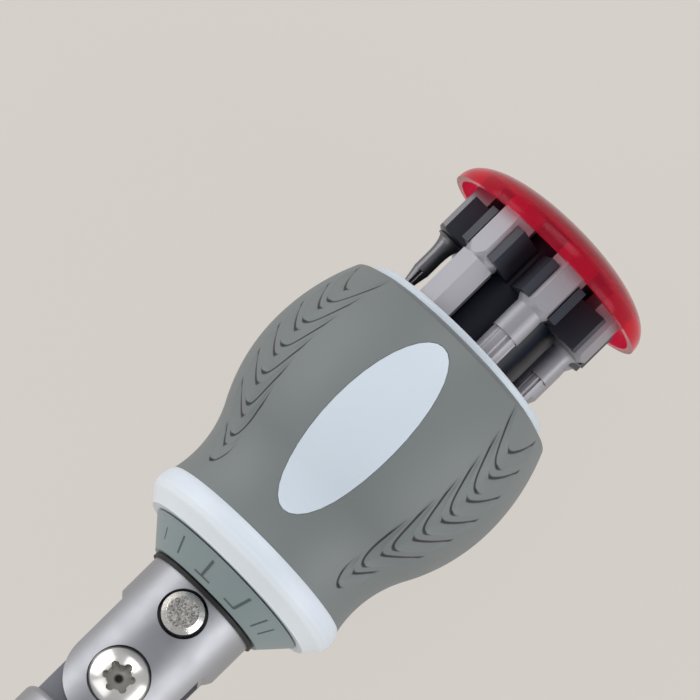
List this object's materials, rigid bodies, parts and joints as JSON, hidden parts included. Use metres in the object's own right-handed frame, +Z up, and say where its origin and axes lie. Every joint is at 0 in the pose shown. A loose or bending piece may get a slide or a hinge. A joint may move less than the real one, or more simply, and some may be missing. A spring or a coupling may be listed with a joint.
{
  "type": "ratcheting screwdriver",
  "caption": "Ball-handled ratcheting screwdriver with a folding locking head, a direction ring, and a see-through cap on a pull-out magazine of hex bits.",
  "frame": {"origin": "middle of the hex socket's mouth, on the tool's axis", "axes": "+X along the axis out of the socket, from the cap to the tip; +Z up, the side of the lock button and the front thumb pad; +Y by the right-hand rule"},
  "size_m": [0.1647, 0.0504, 0.0502],
  "materials": {
    "core_plastic": "glossy pale blue-white",
    "grip_rubber": "soft matt mid grey",
    "ring_plastic": "glossy off-white",
    "post_plastic": "matt dark grey",
    "seal_rubber": "matt black",
    "ratchet_steel": "plain turned steel",
    "selector_metal": "smooth grey-green",
    "satin_steel": "satin cast steel",
    "bright_steel": "bright plated steel",
    "button_metal": "bead-blasted dark metal",
    "bush_bronze": "plain turned bronze",
    "magnet_metal": "dull plated magnet",
    "cap_plastic": "see-through red, polished",
    "magazine_plastic": "glossy black",
    "bit_steel": "plain tool steel",
    "dark_bit_steel": "gunmetal tool steel"
  },
  "bodies": {
    "handle": {"handle_core": "core_plastic", "grip": "grip_rubber", "collar_ring": "ring_plastic", "guide_post": "post_plastic", "post_ring": "seal_rubber", "ratchet_housing": "ratchet_steel", "bearing_plate": "ratchet_steel", "pawl_pin": "ratchet_steel"},
    "selector": {"selector_ring": "selector_metal"},
    "pawl": {"pawl": "ratchet_steel"},
    "drive": {"yoke": "satin_steel", "drive_gear": "ratchet_steel", "spindle_clip": "ratchet_steel", "seal_ring": "seal_rubber", "pivot_screw": "bright_steel", "lock_spring": "ratchet_steel"},
    "button": {"lock_button": "button_metal"},
    "plunger": {"lock_plunger": "ratchet_steel"},
    "shaft": {"knuckle": "satin_steel", "pivot_bush": "bush_bronze", "bit_holder": "bright_steel", "socket_magnet": "magnet_metal", "socket_ring": "magnet_metal"},
    "magazine": {"cap": "cap_plastic", "bit_carousel": "magazine_plastic"},
    "bit_body_lobe": {"bit_lobe": "bit_steel"},
    "bit_body_small_lobe": {"bit_small_lobe": "bit_steel"},
    "bit_body_cross": {"bit_cross": "bit_steel"},
    "bit_body_blade": {"bit_blade": "bit_steel"},
    "bit_body_square": {"bit_square": "bit_steel"},
    "bit_body_small_cross": {"bit_small_cross": "dark_bit_steel"},
    "bit_body_hex": {"bit_hex": "bit_steel"}
  },
  "joints": [
    {"name": "selector_turn", "type": "hinge", "parent": "handle", "child": "selector", "pos_m": [-0.08005, 0, 0], "axis": [1, 0, 0], "range_deg": [0, 40]},
    {"name": "pawl_rock", "type": "hinge", "parent": "handle", "child": "pawl", "pos_m": [-0.09205, 0, 0.011], "axis": [1, 0, 0], "range_deg": [0, 18.8]},
    {"name": "drive_turn", "type": "hinge", "parent": "handle", "child": "drive", "pos_m": [-0.09205, 0, 0], "axis": [1, 0, 0], "continuous": true},
    {"name": "button_press", "type": "slide", "parent": "drive", "child": "button", "axis": [0, 0, -1], "range_m": [0, 0.0024], "stiffness_N_per_m": 800, "springref_m": -0.002, "deforming": ["lock_spring"]},
    {"name": "plunger_draw", "type": "slide", "parent": "drive", "child": "plunger", "axis": [-1, 0, 0], "range_m": [0, 0.0012]},
    {"name": "head_fold", "type": "hinge", "parent": "drive", "child": "shaft", "pos_m": [-0.0569, 0, 0], "axis": [0, 0, 1], "range_deg": [-90, 90]},
    {"name": "magazine_slide", "type": "slide", "parent": "handle", "child": "magazine", "axis": [1, 0, 0], "range_m": [-0.0015, 0.0211]},
    {"name": "lobe_bit_slide", "type": "slide", "parent": "magazine", "child": "bit_body_lobe", "axis": [1, 0, 0], "range_m": [0, 0.012]},
    {"name": "small_lobe_bit_slide", "type": "slide", "parent": "magazine", "child": "bit_body_small_lobe", "axis": [1, 0, 0], "range_m": [0, 0.012]},
    {"name": "cross_bit_slide", "type": "slide", "parent": "magazine", "child": "bit_body_cross", "axis": [1, 0, 0], "range_m": [0, 0.012]},
    {"name": "blade_bit_slide", "type": "slide", "parent": "magazine", "child": "bit_body_blade", "axis": [1, 0, 0], "range_m": [0, 0.012]},
    {"name": "square_bit_slide", "type": "slide", "parent": "magazine", "child": "bit_body_square", "axis": [1, 0, 0], "range_m": [0, 0.012]},
    {"name": "small_cross_bit_slide", "type": "slide", "parent": "magazine", "child": "bit_body_small_cross", "axis": [1, 0, 0], "range_m": [0, 0.012]},
    {"name": "hex_bit_slide", "type": "slide", "parent": "magazine", "child": "bit_body_hex", "axis": [1, 0, 0], "range_m": [0, 0.012]}
  ],
  "couplings": [
    {"joint": "pawl_rock", "follows": "selector_turn", "ratio": 0.47},
    {"joint": "plunger_draw", "follows": "button_press", "ratio": 0.5}
  ]
}
